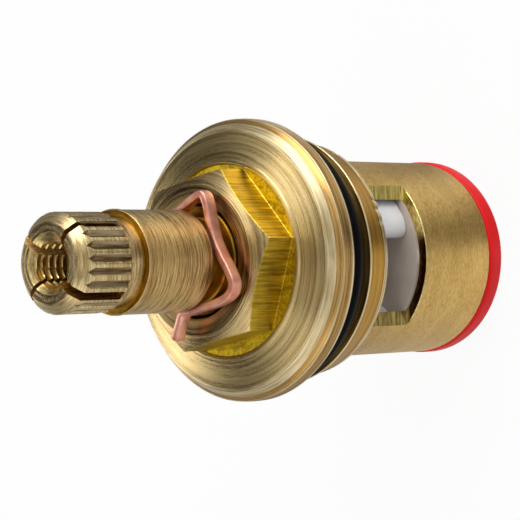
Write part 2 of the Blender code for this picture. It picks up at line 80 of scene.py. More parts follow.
def make_piece(name, points, faces, finishes, finish_of_face=None):
    """A mesh object from points in millimetres and quads. Coincident points are merged, a quad
    with a side of no length becomes a triangle, and one with no area is left out."""
    mesh = bpy.data.meshes.new(name)
    points = np.asarray(points, float).reshape(-1, 3)
    faces = np.asarray(faces, int).reshape(-1, 4)
    cells = np.round(points / MERGE_DISTANCE).astype(np.int64)
    _, first_seen, merged = np.unique(cells, axis=0, return_index=True, return_inverse=True)
    faces = merged.reshape(-1)[faces]
    points = points[first_seen] * MM
    distinct = faces != np.roll(faces, 1, axis=1)
    folded = (faces[:, 0] == faces[:, 2]) | (faces[:, 1] == faces[:, 3])
    kept = (distinct.sum(axis=1) >= 3) & ~folded
    loops = [face[sides].tolist() for face, sides in zip(faces[kept], distinct[kept])]
    mesh.from_pydata(points.tolist(), [], loops)
    for finish in finishes:
        mesh.materials.append(finish)
    if finish_of_face is not None:
        finish_of_kept = np.asarray(finish_of_face).reshape(-1)[kept].astype(np.int32)
        mesh.polygons.foreach_set("material_index", finish_of_kept)
    mesh.validate()
    made = bpy.data.objects.new(name, mesh)
    bpy.context.scene.collection.objects.link(made)
    bpy.context.view_layer.objects.active = made
    made.select_set(True)
    bpy.ops.object.mode_set(mode="EDIT")
    bpy.ops.mesh.select_all(action="SELECT")
    bpy.ops.mesh.normals_make_consistent(inside=False)
    bpy.ops.object.mode_set(mode="OBJECT")
    made.select_set(False)
    mesh.shade_smooth()
    mesh.set_sharp_from_angle(angle=SHARP_ANGLE)
    return made


def polar_points(radius, turn, height):
    """Points from radii, directions in degrees and heights, broadcast together."""
    radius, turn, height = np.broadcast_arrays(radius, np.radians(turn), height)
    return np.stack((radius * np.cos(turn), radius * np.sin(turn), height), axis=-1)


def linear(text):
    """An sRGB hex colour as the linear colour that a shader takes."""
    levels = np.array([int(text[at:at + 2], 16) for at in (1, 3, 5)]) / 255
    curve = np.where(levels <= 0.04045, levels / 12.92, ((levels + 0.055) / 1.055) ** 2.4)
    return (*curve.tolist(), 1.0)


def set_inputs(tree, node, inputs):
    """Gives each named input of a node its value, or another node's output."""
    for key, value in dict(inputs).items():
        if isinstance(value, bpy.types.NodeSocket):
            tree.links.new(value, node.inputs[key])
        else:
            node.inputs[key].default_value = value


def add_node(tree, kind, inputs=(), stops=(), **settings):
    """One shader node with its inputs and settings. A colour ramp takes its stops too: places
    between 0 and 1, each with a hex colour."""
    made = tree.nodes.new("ShaderNode" + kind)
    for key, value in settings.items():
        setattr(made, key, value)
    set_inputs(tree, made, inputs)
    if stops:
        elements = made.color_ramp.elements
        while len(elements) < len(stops):
            elements.new(1.0)
        for element, (place, text) in zip(elements, stops):
            element.position = place
            element.color = linear(text)
    return made


def new_finish(name):
    """An empty material and its tree, main shader and object coordinates."""
    finish = bpy.data.materials.new(name)
    finish.use_nodes = True
    tree = finish.node_tree
    shader = tree.nodes["Principled BSDF"]
    place = add_node(tree, "TexCoord").outputs["Object"]
    return finish, tree, shader, place


def cylinder_coordinates(tree, place):
    """Distance from the Z axis, height and direction of a point, in metres and radians."""
    parts = add_node(tree, "SeparateXYZ", {"Vector": place})
    x, y, z = (parts.outputs[axis] for axis in "XYZ")
    flat = add_node(tree, "CombineXYZ", {"X": x, "Y": y})
    radius = add_node(tree, "VectorMath", {0: flat.outputs[0]}, operation="LENGTH").outputs["Value"]
    turn = add_node(tree, "Math", {0: y, 1: x}, operation="ARCTAN2").outputs[0]
    return radius, z, turn


def turned_brass(name, pale, brown, roughness, line, relief,
                 length=30.0, direction=0.6, stain=0.25):
    """Brass cut on a lathe: rings in colour and relief, each about a line's width in millimetres
    and fading after a length in degrees, light drawn out across them, and a little uneven
    tarnish, whose share is the stain. The direction is how far the light is drawn out."""
    finish, tree, shader, place = new_finish(name)
    radius, height, turn = cylinder_coordinates(tree, place)
    along = add_node(tree, "Math", {0: turn, 1: line * MM / math.radians(length)},
                     operation="MULTIPLY").outputs[0]
    seam_free = add_node(tree, "Math", {0: along}, operation="ABSOLUTE").outputs[0]
    rings = add_node(tree, "CombineXYZ", {"X": radius, "Y": height, "Z": seam_free}).outputs[0]
    fine = add_node(tree, "TexNoise", {"Vector": rings, "Scale": 1000 / line, "Detail": 4.0,
                                       "Roughness": 0.65}).outputs["Fac"]
    broad = add_node(tree, "TexNoise", {"Vector": rings, "Scale": 120 / line, "Detail": 3.0})
    share = add_node(tree, "Mix", {"Factor": stain, 2: fine, 3: broad.outputs["Fac"]}).outputs[0]
    colour = add_node(tree, "ValToRGB", {"Fac": share}, ((0.38, brown), (0.60, pale)))
    rough = add_node(tree, "MapRange", {"Value": fine, "From Min": 0.3, "From Max": 0.7,
                                        "To Min": roughness - 0.06, "To Max": roughness + 0.08})
    bump = add_node(tree, "Bump", {"Height": fine, "Distance": relief * LINE_RELIEF})
    tangent = add_node(tree, "Tangent", direction_type="RADIAL", axis="Z")
    set_inputs(tree, shader, {
        "Base Color": colour.outputs[0], "Metallic": 1.0, "Roughness": rough.outputs[0],
        "Normal": bump.outputs[0], "Tangent": tangent.outputs[0], "Anisotropic": direction,
        "Anisotropic Rotation": 0.25})
    return finish


def milled_brass(name, pale, brown, roughness, streak, feed, below=None, metal=1.0):
    """Brass as a milling cutter leaves it: streaks of a width in millimetres, drawn out along
    the cutter's feed, which is the axis whose factor in feed is small. Below a Y in millimetres
    it may go over to another, darker pair of colours, which is painted shade."""
    finish, tree, shader, place = new_finish(name)
    along = add_node(tree, "Mapping", {"Vector": place, "Scale": feed}).outputs[0]
    lines = add_node(tree, "TexNoise", {"Vector": along, "Scale": 1000 / streak, "Detail": 3.0,
                                        "Roughness": 0.6}).outputs["Fac"]
    patch = add_node(tree, "TexNoise", {"Vector": place, "Scale": 420.0, "Detail": 2.0})
    share = add_node(tree, "Mix", {"Factor": 0.3, 2: lines, 3: patch.outputs["Fac"]}).outputs[0]
    colour = add_node(tree, "ValToRGB", {"Fac": share}, ((0.38, brown), (0.58, pale))).outputs[0]
    # Painted shade: below the given Y the colours go over to the darker pair.
    if below:
        change, shaded_pale, shaded_brown = below
        under = add_node(tree, "ValToRGB", {"Fac": share}, ((0.38, shaded_brown), (0.58, shaded_pale)))
        y = add_node(tree, "SeparateXYZ", {"Vector": place}).outputs["Y"]
        above = add_node(tree, "MapRange", {"Value": y, "From Min": (change - 0.4) * MM,
                                            "From Max": (change + 0.4) * MM}).outputs[0]
        colour = add_node(tree, "Mix", {"Factor": above, 6: under.outputs[0], 7: colour},
                          data_type="RGBA").outputs[2]
    bump = add_node(tree, "Bump", {"Height": lines, "Strength": 0.5, "Distance": LINE_RELIEF})
    set_inputs(tree, shader, {"Base Color": colour, "Metallic": metal, "Roughness": roughness,
                              "Normal": bump.outputs[0]})
    return finish


# Free-machining brass bar, brushed round with fine abrasive: 0.1 mm scratches run round the tube,
# and the light smears along its length. The milled faces are cleaner and yellower, and darker below
# Y = 0, which is painted shade. The sill is brown below Y = 1.6 mm, a painted reflection of the
# dark inside of the window, and the edge break at its outer rim is paler, a painted highlight.
brushed_brass = turned_brass("brushed_brass_tube", "#E2BC70", "#B8924A", 0.32, 0.12, 1.4, 3.0)
window_brass = milled_brass("milled_brass_window_painted_shade", "#F0DA7E", "#A08A3C", 0.32, 0.16,
                            (1.0, 0.08, 1.0), (0.0, "#B49C50", "#5C4A1C"), 0.7)
sill_brass = milled_brass("milled_brass_sill_painted_reflection", "#F2DA86", "#A88638", 0.3, 0.16,
                          (1.0, 0.3, 1.0), (1.6, "#7A5420", "#3E280C"))
# Painted highlight: the edge break at the sill's outer rim gets paler colours than the sill.
sill_edge_painted_highlight_brass = milled_brass("brass_sill_edge_painted_highlight", "#F6E4A8", "#B89450", 0.35, 0.2,
                               (1.0, 1.0, 1.0))
bored_brass = turned_brass("bored_brass", "#B8944E", "#8C6A30", 0.45, 0.4, 0.3)
barrel_finishes = (brushed_brass, window_brass, bored_brass, sill_brass, sill_edge_painted_highlight_brass)
BRUSHED, MILLED, BORED, SILL, SILL_EDGE_HIGHLIGHT = range(len(barrel_finishes))


def window_edges(cut):
    """Directions in degrees where a flat cut this far from the axis meets the bore and the
    outside."""
    return (np.degrees(np.arccos(np.minimum(cut / BARREL_BORE, 1.0))),
            np.degrees(np.arccos(np.minimum(cut / BARREL_RADIUS, 1.0))))


def barrel_turns(open_edge, flat_edge, steps):
    """Directions round the barrel for each row: even steps from a window's middle to its
    opening's edge, its flat's edge and 90 degrees, mirrored four times."""
    side = np.full_like(open_edge, 90.0)
    stops = np.stack((np.zeros_like(open_edge), open_edge, flat_edge, side), axis=1)
    shares = [np.linspace(0, 1, step + 1)[:-1] for step in steps]
    quarter = np.concatenate([stops[:, [part]] + (stops[:, [part + 1]] - stops[:, [part]]) * share
                              for part, share in enumerate(shares)], axis=1)
    half = np.concatenate((quarter, side[:, None], 180 - quarter[:, :0:-1]), axis=1)
    return np.concatenate((half, half + 180), axis=1)


def barrel_mesh():
    """The tube as one closed profile carried round Z. In the window rows a point's distance is
    the smaller of the tube's radius and cut / cos(direction), which is a plane, and the faces
    between the two places where that plane meets the bore are left out."""
    milled = np.radians(np.linspace(0, 90, 7))
    cut_z = np.concatenate((WINDOW_SILL + WINDOW_CORNER * (1 - np.cos(milled)), [WINDOW_TOP]))
    cut_x = np.concatenate((WINDOW_PLANE + WINDOW_CORNER * (1 - np.sin(milled)), [WINDOW_PLANE]))
    count = len(cut_z)
    tube_z = [BARREL_END, BARREL_END, BARREL_END + END_CHAMFER, 4, 6, 8, 10]
    sill_row = len(tube_z) + 1
    first_cut = sill_row + 1
    last_cut = first_cut + count - 1
    outer_z = np.concatenate((tube_z, [WINDOW_SILL - EDGE_BREAK, WINDOW_SILL], cut_z,
                              [WINDOW_TOP, COLLAR_REAR, COLLAR_REAR]))
    outer_x = np.concatenate((np.full(first_cut, cut_x[0]), cut_x, np.full(3, WINDOW_PLANE)))
    outer_r = np.concatenate(([BARREL_BORE, BARREL_RADIUS - END_CHAMFER],
                              np.full(sill_row - 2, BARREL_RADIUS), [BARREL_RADIUS - EDGE_BREAK],
                              np.full(count + 2, BARREL_RADIUS), [BARREL_BORE]))
    inner_z = np.concatenate((cut_z[::-1], [BARREL_END]))
    inner_x = np.concatenate((cut_x[::-1], [cut_x[0]]))
    heights = np.concatenate((outer_z, inner_z))
    cuts = np.concatenate((outer_x, inner_x))
    radii = np.concatenate((outer_r, np.full(len(inner_z), BARREL_BORE)))
    open_edge, flat_edge = window_edges(cuts)
    turns = barrel_turns(open_edge, flat_edge, steps=(14, 6, 16))
    rows, columns = turns.shape
    from_window = np.abs((turns + 90) % 180 - 90)
    plane = cuts[:, None] / np.maximum(np.cos(np.radians(from_window)), 1e-3)
    radius = np.broadcast_to(radii[:, None], turns.shape).copy()
    beyond = from_window[sill_row] > flat_edge[sill_row] - 1e-6
    radius[sill_row, beyond] = BARREL_RADIUS
    cut_rows = slice(first_cut, last_cut + 1)
    radius[cut_rows] = np.maximum(np.minimum(BARREL_RADIUS, plane[cut_rows]), BARREL_BORE)
    points = polar_points(radius, turns, heights[:, None])
    faces = grid_faces(rows, columns, True)
    closing = grid_faces(2, columns, True)
    closing = np.where(closing < columns, closing + (rows - 1) * columns, closing - columns)
    row_of = np.arange(rows - 1)[:, None]
    middle = (from_window + np.roll(from_window, -1, axis=1))[:-1] / 2
    in_opening = middle < open_edge[:-1, None]
    inner_first = len(outer_z)
    window_row = ((row_of >= first_cut) & (row_of < last_cut)) | \
                 ((row_of >= inner_first) & (row_of < inner_first + count - 1))
    dropped = window_row & in_opening
    milled_face = (row_of >= sill_row) & (row_of <= last_cut) & \
                  (middle < flat_edge[:-1, None] + 0.5)
    bored_face = row_of >= inner_first - 1
    # The milled finish goes darker below Y = 0: painted shade.
    finish = np.where(milled_face, MILLED, np.where(bored_face, BORED, BRUSHED))
    over_window = middle < flat_edge[sill_row]
    # Painted reflection: the sill's finish goes brown below Y = 1.6 mm, for the dark inside of the
    # window.
    finish[(row_of == sill_row) & over_window] = SILL
    # Painted highlight on the sill's edge break.
    finish[(row_of == sill_row - 1) & over_window] = SILL_EDGE_HIGHLIGHT
    faces = np.concatenate((faces[~dropped], closing.reshape(-1, 4)))
    return points, faces, np.concatenate((finish[~dropped], np.full(columns, BRUSHED)))


barrel_points, barrel_faces, barrel_finish = barrel_mesh()
barrel = make_piece("barrel", barrel_points, barrel_faces, barrel_finishes, barrel_finish)

# The head: collar, ring groove, flange and hexagon
# Turned from the same bar as the barrel. A milling cutter then leaves the hexagon standing in a
# shallow round pocket in the flange's face, and the lathe's chamfer stays on its corners.

RING_GROOVE_FLOOR = 8.6
FLANGE_RADIUS = 11.83
POCKET_RADIUS = 7.95
POCKET_FLOOR = 26.6
HEX_TOP = 30.07
HEX_TOP_RADIUS = 6.2
HEX_HALF_WIDTH = 6.8
HEX_TURN = 11.1
HEX_CHAMFER = math.tan(math.radians(25))
SPINDLE_BORE = 4.74
CHAMBER_RADIUS = 6.7
CHAMBER_TOP = 22.9

BAND_HEIGHTS = (17.86, 19.95)
GROOVE_HEIGHTS = (20.38, 23.61)
RIM_HEIGHTS = (23.98, 25.42)
# Edges between the bands, which get a pale finish: a painted highlight.
EDGE_HEIGHTS = ((17.41, 17.86), (20.12, 20.36), (23.85, 24.02), (24.92, 25.045), (25.41, 26.079))

# The collar's rear edge carries a torn burr from 5 to 85 degrees, and a trace of it elsewhere.
BURR_DEPTH = 0.06
BURR_MIDDLE = 45
BURR_REACH = 40
BURR_ROWS = slice(2, 12)

# The lathe's finishes: fine pale faces, a dark, blotchy end ring, a near black groove that is
# painted shade, a deeper yellow collar, a warm rim, and pale edges that are painted highlights.
turned_face = turned_brass("turned_brass_flange", "#D8BE86", "#927A4A", 0.26, 0.22, 0.8, 70, 0.8)
chamfer_brass = turned_brass("turned_brass_hexagon_chamfer", "#E4CC92", "#A8895A", 0.26, 0.22,
                             0.6, 40, 0.7)
end_brass = turned_brass("turned_brass_hexagon_end", "#C2A26A", "#1C1408", 0.3, 0.24,
                         0.6, 60, 0.6, 0.55)
# Painted shade: the ring groove's brass, deep behind the rubber ring, is coloured near black.
groove_shade_brass = turned_brass("turned_brass_groove_painted_shade", "#503E1E", "#2C1E0A", 0.3, 0.3, 0.5)
band_brass = turned_brass("turned_brass_collar", "#C89630", "#8E6414", 0.3, 0.3, 0.8, 60, 0.6)
rim_brass = turned_brass("turned_brass_rim", "#D4AC68", "#926A38", 0.27, 0.2, 0.8, 50, 0.6)
# Painted highlight: pale colours on the turned edges between the bands.
lathe_edge_highlight_brass = turned_brass("brass_edges_painted_highlight", "#EEDCB0", "#BCA270", 0.34, 0.2, 0.6, 20, 0.4)

# Left as the milling cutter leaves it, unpolished: deep yellow, with brown streaks up its sides.
raw_brass = milled_brass("raw_milled_brass_hexagon", "#D8BA3E", "#8E7428", 0.4, 0.2,
                         (1.0, 1.0, 0.05))
pocket_brass = milled_brass("raw_milled_brass_pocket", "#E8CA2C", "#A8861C", 0.45, 0.3,
                            (1.0, 1.0, 1.0))
head_finishes = (turned_face, raw_brass, chamfer_brass, bored_brass, groove_shade_brass, band_brass,
                 end_brass, pocket_brass, rim_brass, lathe_edge_highlight_brass)
FACE, FLAT, CHAMFER, BORE, GROOVE, BAND, END, POCKET, RIM, EDGE = range(len(head_finishes))


def bend(start, corner, end, steps=4):
    """Points of a rounded edge: a smooth curve from start to end, drawn towards the corner."""
    share = np.linspace(0, 1, steps + 1)[:, None]
    start, corner, end = (np.array(point, float) for point in (start, corner, end))
    return (1 - share) ** 2 * start + 2 * share * (1 - share) * corner + share ** 2 * end


def head_mesh():
    """A closed profile carried round Z. On the hexagon's rows the distance is half width /
    cos(angle from the nearest flat's middle), and its top edge lies where the flat meets the
    chamfer's cone."""
    turned_part = np.concatenate((
        [(CHAMBER_RADIUS, COLLAR_REAR), (9.82, COLLAR_REAR)],
        bend((9.84, COLLAR_REAR), (9.96, 17.4), (9.97, 17.52)),
        bend((9.99, 17.7), (10.0, 17.84), (9.96, 17.9)),
        bend((9.98, 18.1), (10.16, 19.0), (10.34, 20.0), 6),
        bend((10.5, 20.1), (10.6, 20.16), (10.62, 20.24)),
        bend((10.62, 20.3), (10.6, 20.36), (10.53, 20.4)),
        bend((10.2, 20.64), (9.9, 20.88), (9.76, 21.1)),
        bend((9.6, 21.12), (9.2, 20.9), (9.0, 20.45)),
        [(RING_GROOVE_FLOOR + 0.15, 20.45)],
        bend((RING_GROOVE_FLOOR + 0.15, 20.45), (RING_GROOVE_FLOOR, 20.45),
             (RING_GROOVE_FLOOR, 20.6)),
        [(RING_GROOVE_FLOOR, 23.6), (11.64, 23.6)],
        bend((11.66, 23.6), (11.72, 23.62), (11.82, 23.84)),
        bend((11.8, 23.9), (11.79, 23.96), (11.82, 24.02)),
        bend((FLANGE_RADIUS, 24.3), (FLANGE_RADIUS, 24.6), (11.8, 24.88), 6),
        bend((11.8, 24.96), (11.78, 25.03), (11.7, 25.04)),
        [(11.66, 25.05), (11.36, 25.4)],
        bend((11.37, 25.46), (11.35, 25.55), (11.26, 25.58)),
        bend((10.98, 25.99), (10.94, 26.06), (10.86, 26.08)),
        bend((10.82, 26.05), (10.78, 26.04), (10.72, 26.08)),
        [(9.6, 26.36), (8.7, 26.58)],
        bend((8.62, 26.6), (8.5, 26.62), (8.45, 26.68)),
        bend((8.4, 26.76), (8.1, 26.88), (7.97, 26.7), 6),
        [(POCKET_RADIUS, 26.66), (POCKET_RADIUS, POCKET_FLOOR)],
    ))
    inner_part = np.concatenate((
        [(HEX_TOP_RADIUS, HEX_TOP), (5.6, HEX_TOP)],
        bend((SPINDLE_BORE + 0.25, HEX_TOP), (SPINDLE_BORE + 0.03, HEX_TOP),
             (SPINDLE_BORE, HEX_TOP - 0.22)),
        [(SPINDLE_BORE, 26.0), (SPINDLE_BORE, CHAMBER_TOP), (CHAMBER_RADIUS, CHAMBER_TOP)],
        [(CHAMBER_RADIUS, COLLAR_REAR)],
    ))
    columns = 288
    turns = HEX_TURN + np.arange(columns) * 360 / columns
    flat = HEX_HALF_WIDTH / np.cos(np.radians((turns - HEX_TURN) % 60 - 30))
    flat_top = HEX_TOP - (flat - HEX_TOP_RADIUS) * HEX_CHAMFER
    edge = 0.05
    hexagon_r = np.stack((flat + edge, flat, flat, flat, flat - edge * 0.9))
    hexagon_z = np.stack((np.full(columns, POCKET_FLOOR), np.full(columns, POCKET_FLOOR + edge),
                          (POCKET_FLOOR + flat_top) / 2, flat_top - edge, flat_top + edge * 0.3))
    radius = np.concatenate((np.repeat(turned_part[:, :1], columns, 1), hexagon_r,
                             np.repeat(inner_part[:, :1], columns, 1)))
    height = np.concatenate((np.repeat(turned_part[:, 1:], columns, 1), hexagon_z,
                             np.repeat(inner_part[:, 1:], columns, 1)))
    burr = np.random.default_rng(5).normal(0, 1, columns).clip(0, 2) * BURR_DEPTH
    burred = np.abs((turns + 180) % 360 - 180 - BURR_MIDDLE) < BURR_REACH
    radius[BURR_ROWS] -= np.where(burred, burr, burr * 0.15)
    faces = grid_faces(len(radius), columns, True)
    row_of = np.arange(len(radius) - 1)[:, None] + np.zeros((1, columns), int)
    pocket_row = len(turned_part) - 2
    hexagon_end = len(turned_part) + 4
    finish = np.full_like(row_of, FACE)
    finish[row_of >= pocket_row] = POCKET
    finish[row_of > pocket_row + 1] = FLAT
    finish[row_of >= hexagon_end] = CHAMFER
    finish[row_of > hexagon_end] = END
    finish[row_of > hexagon_end + 6] = BORE
    middle_z = (height[:-1] + height[1:]) / 2
    # The groove's near black finish is painted shade.
    bands = [(GROOVE, GROOVE_HEIGHTS), (BAND, BAND_HEIGHTS), (RIM, RIM_HEIGHTS)]
    # The edges' pale finish is a painted highlight.
    for kind, (start, end) in bands + [(EDGE, heights) for heights in EDGE_HEIGHTS]:
        finish[(row_of < pocket_row) & (middle_z > start) & (middle_z < end)] = kind
    return polar_points(radius, turns, height), faces, finish


head_points, head_faces, head_finish = head_mesh()
head = make_piece("flange_and_hexagon", head_points, head_faces, head_finishes, head_finish)
for piece in (barrel, head):
    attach(piece, "headwork")
    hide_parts("headwork_body")

# The rubber ring behind the flange
# A moulded nitrile ring that stands a little proud of its groove and seals the tap's bore.

BODY_RING_CENTRE = 9.9
BODY_RING_SECTION = 1.15
BODY_RING_HEIGHT = 22.3


def ring_mesh(centre, section, height, columns=192, rows=32):
    """A torus: a circle of the section's radius carried round Z at the centre radius."""
    around = np.linspace(0, 2 * np.pi, rows)[:, None]
    turns = np.arange(columns) * 360 / columns
    points = polar_points(centre + section * np.cos(around), turns,
                          height + section * np.sin(around))
    return points, grid_faces(rows, columns, True)


def cloudy_colour(tree, shader, place, scale, detail, *stops, roughness=0.5):
    """Gives a surface its colours in soft clouds, and gives back the clouds for its relief."""
    clouds = add_node(tree, "TexNoise", {"Vector": place, "Scale": scale, "Detail": detail,
                                         "Roughness": roughness}).outputs["Fac"]
    colour = add_node(tree, "ValToRGB", {"Fac": clouds}, stops)
    set_inputs(tree, shader, {"Base Color": colour.outputs[0]})
    return clouds


def black_rubber():
    """Moulded nitrile rubber: near black, with a dull even shine and a fine powdery grain."""
    finish, tree, shader, place = new_finish("moulded_black_rubber")
    dust = cloudy_colour(tree, shader, place, 900.0, 3.0, (0.35, "#030306"), (0.75, "#08090F"))
    bump = add_node(tree, "Bump", {"Height": dust, "Strength": 0.15, "Distance": GRAIN_RELIEF})
    set_inputs(tree, shader, {"Normal": bump.outputs[0], "Roughness": 0.5,
                              "Specular IOR Level": 0.05})
    return finish


rubber = black_rubber()
body_ring = make_piece("flange_rubber_ring",
                       *ring_mesh(BODY_RING_CENTRE, BODY_RING_SECTION, BODY_RING_HEIGHT),
                       (rubber,))
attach(body_ring, "headwork")
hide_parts("body_o_ring")

# The spindle
# A brass rod turned to a bearing, a clip groove and a stem. Its end is splined for the handle,
# drilled and tapped M4, and sawn crosswise so that the screw spreads the four prongs.

REST_TURN = -17.4
STEM_RADIUS = 4.19
SPLINE_RADIUS = 4.0
SPLINE_DEPTH = 0.34
SPLINE_TURN = REST_TURN + 5
TOOTH_TURN = 15
SPLINE_START = 40.88
SPLINE_END = 45.33
TIP_TOP = 46.07
SLOT_TURN = REST_TURN + 65
SLOT_HALF = 0.4
SLOT_FLOOR = 40.97
SECTOR_COLUMNS = 73
THREAD_PITCH = 0.7
THREAD_MINOR = 1.66
THREAD_DEPTH = 0.34

# The notch in the thrust collar, in degrees, which the stop's lug at 78 to 102 degrees stands in.
NOTCH_FLOOR = 4.9
NOTCH_FROM, NOTCH_TO = -25, 105

# How far each prong's two sides stand back from the saw cuts' middle planes: not quite evenly.
PRONG_START = np.array([0.2, 0.54, 0.16, 0.4])
PRONG_FINISH = np.array([0.04, 0.2, 0.4, 0.25])

# Free-cutting brass rod as turned: 0.16 mm feed lines with torn flecks on the stem, paler where
# the spline was cut, brown in the saw cuts, which is painted shade, with one cut side pale, a
# painted highlight, and darker in the thread's roots and the hole's bottom, which is painted shade.
stem_brass = turned_brass("turned_brass_stem", "#E4C486", "#967640", 0.28, 0.16, 2.4, 40, 0.6, 0.1)
spline_brass = turned_brass("cut_brass_spline", "#E8D29C", "#A88A58", 0.28, 0.2, 1.0, 30, 0.65)
shoulder_brass = turned_brass("turned_brass_shoulder", "#B98A2E", "#7E5714", 0.32, 0.3,
                              0.3, 30, 0.6)
tapped_brass = turned_brass("tapped_brass_hole", "#EED594", "#A07C40", 0.2, 0.4, 0.3, 30, 0.3)
# Painted shade: the thread's roots and the hole's bottom take this darker brass.
root_shade_brass = turned_brass("thread_roots_painted_shade", "#A87A2C", "#46300E", 0.45, 0.2, 0.4, 30, 0.2)
# Painted shade and painted highlight: a darker sawn finish for most cut sides, and a pale, less
# metallic copy for one lit side.
sawn_brass = milled_brass("sawn_brass_cut", "#B07C30", "#5E3A12", 0.6, 0.2, (1.0, 1.0, 0.2))
sawn_highlight_brass = milled_brass("sawn_brass_cut_painted_highlight", "#FAD684", "#C0903C", 0.6, 0.22,
                           (1.0, 1.0, 0.4), None, 0.4)
tip_brass = turned_brass("faced_brass_tip", "#B8A074", "#5E4E30", 0.2, 0.24, 0.9, 50, 0.6)
groove_cut_brass = milled_brass("cut_brass_spline_groove", "#B09C78", "#6E5C42", 0.3, 0.12,
                                (1.0, 1.0, 0.05))
spindle_finishes = (stem_brass, spline_brass, shoulder_brass, tapped_brass, root_shade_brass,
                    groove_cut_brass, sawn_brass, sawn_highlight_brass, tip_brass)
STEM, CREST, SHOULDER, HOLE, ROOT_SHADE, TOOTH_GAP, SAWN, SAWN_HIGHLIGHT, TIP = range(len(spindle_finishes))


def spindle_profile():
    """Outside of the spindle from its foot to the spline, with each ring groove and shoulder."""
    hidden = [(0, 14.25), (4.2, 14.25), (4.3, 14.35), (4.3, 18.9), (6.2, 18.9), (6.3, 19.0),
              (6.3, 21.4), (6.2, 21.5), (4.5, 21.5), (4.5, 24.55), (3.0, 24.55), (3.0, 26.45),
              (4.5, 26.45), (4.5, 27.55), (3.0, 27.55), (3.0, 29.45), (4.5, 29.45), (4.5, 29.92)]
    clip_groove = [(4.42, 30.06), (3.62, 30.07), (3.5, 30.2), (3.5, 32.0), (3.62, 32.15),
                   (4.1, 32.17)]
    stem = [(STEM_RADIUS, z) for z in np.linspace(33, 38.9, 9)]
    parts = (hidden, clip_groove, bend((4.1, 32.17), (STEM_RADIUS, 32.18), (STEM_RADIUS, 32.28)),
             stem, bend((4.23, 38.98), (4.25, 39.02), (4.25, 39.1)),
             bend((4.25, 39.18), (4.24, 39.3), (4.17, 39.31)),
             bend((3.64, 39.31), (3.6, 39.32), (3.59, 39.37)), [(3.59, 40.5)],
             bend((3.6, 40.6), (3.64, 40.86), (3.8, 40.88)))
    return np.concatenate([np.asarray(part, float).reshape(-1, 2) for part in parts])


def slot_share(height):
    """Share of its full width that a saw cut has: all above its floor's half circle, none below."""
    under = np.clip((SLOT_FLOOR + SLOT_HALF - height) / SLOT_HALF, 0, 1)
    return np.where(height < SLOT_FLOOR, 0, np.sqrt(1 - under ** 2))


